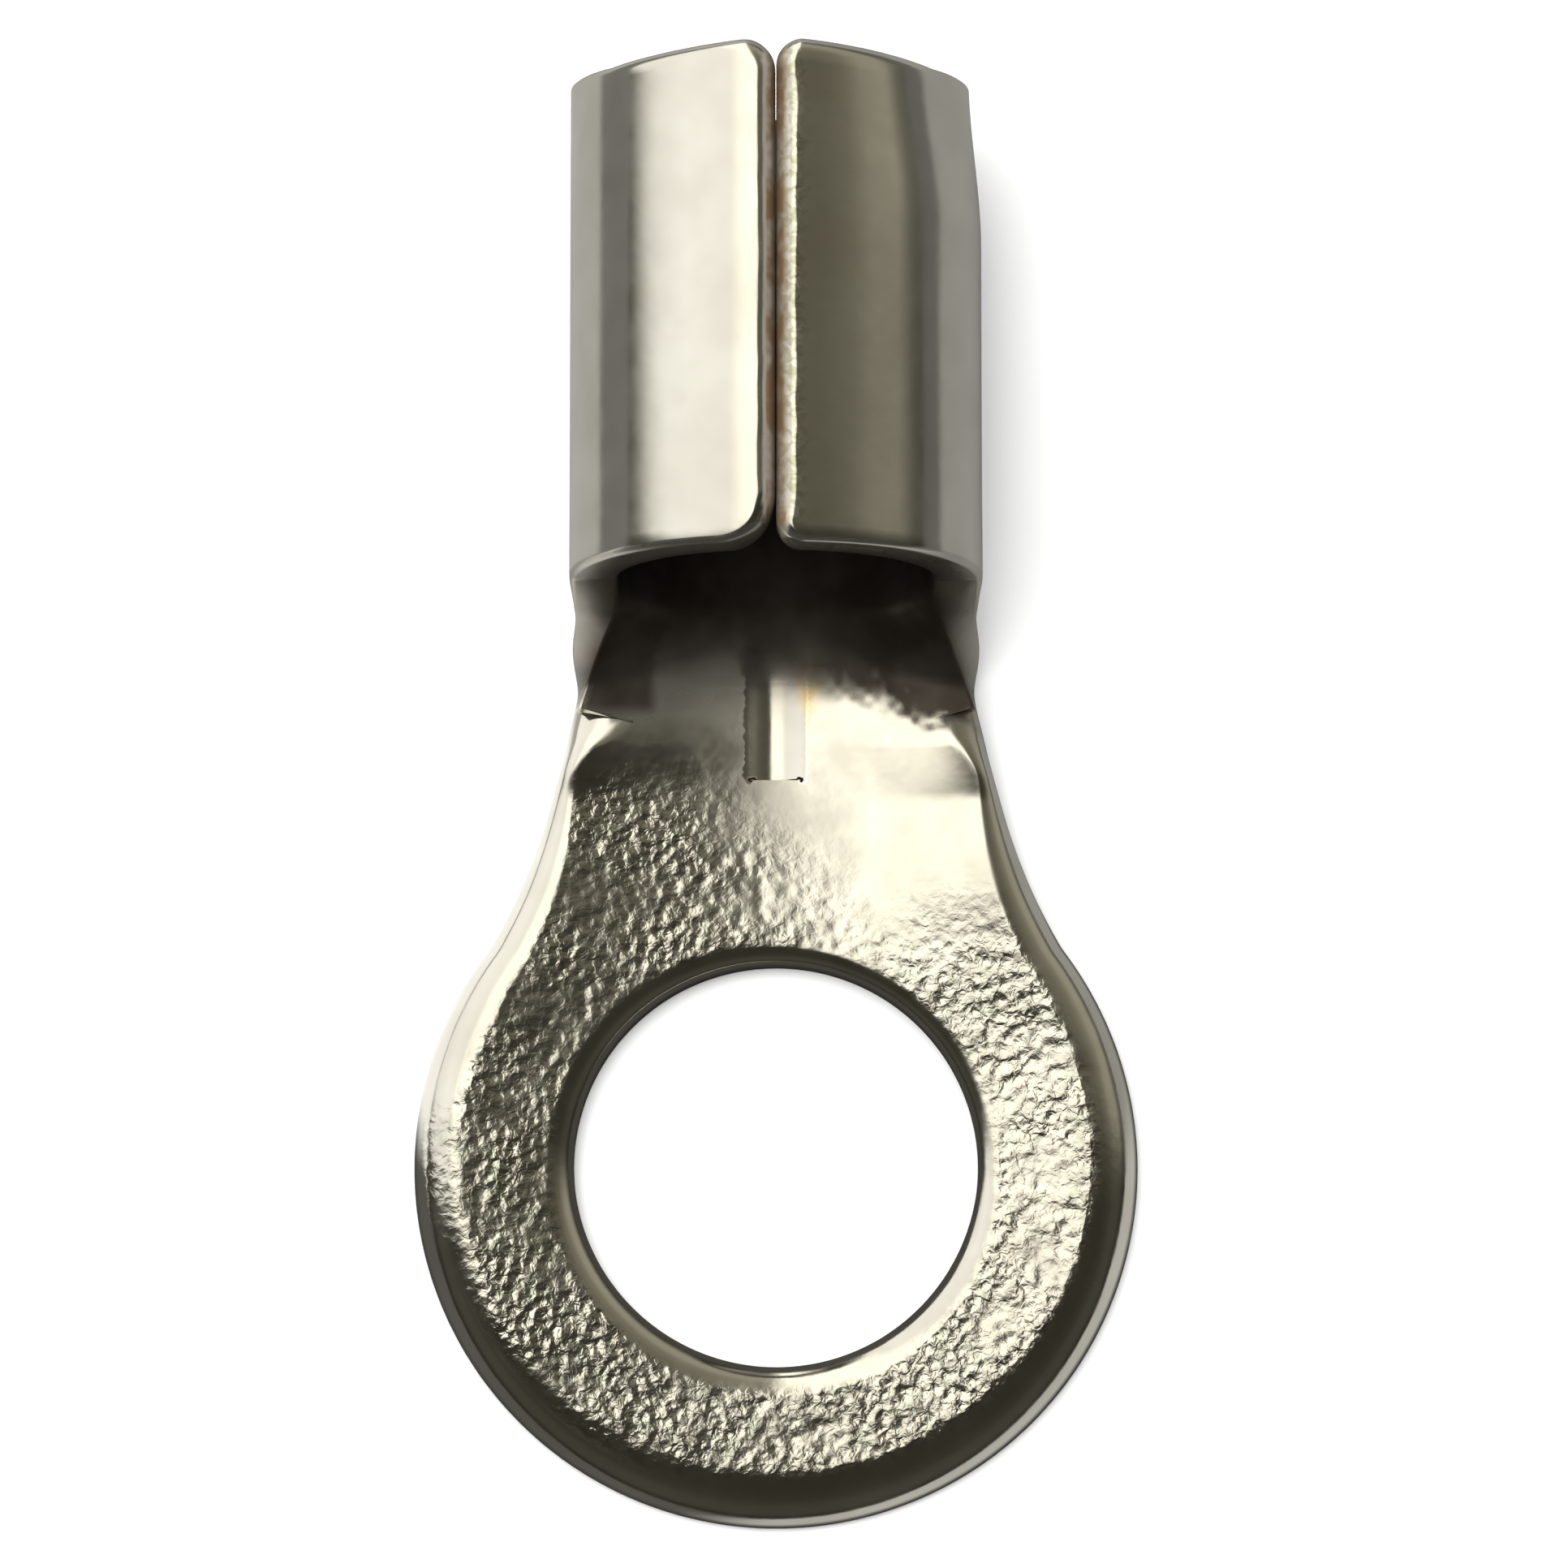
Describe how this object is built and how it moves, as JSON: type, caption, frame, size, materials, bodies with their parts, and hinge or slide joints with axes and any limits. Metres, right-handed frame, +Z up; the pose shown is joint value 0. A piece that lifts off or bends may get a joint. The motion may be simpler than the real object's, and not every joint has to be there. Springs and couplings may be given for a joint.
{
  "type": "ring terminal",
  "caption": "Bare ring terminal: a flat tongue with a stud hole and a waisted neck, running into a rolled wire barrel with a butt seam on top.",
  "frame": {"origin": "centre of the stud hole, on the tongue's flat underside", "axes": "+Z up out of the stud hole, away from the face that lies on the contact; +Y along the wire barrel, out of its mouth; X across, and the part is the same on both sides of it"},
  "size_m": [0.012, 0.0237, 0.0068],
  "materials": {
    "terminal": "tin-plated copper: smooth and bright on the barrel, finely pebbled on the tongue"
  },
  "bodies": {
    "root": {"terminal": "terminal"}
  },
  "joints": []
}
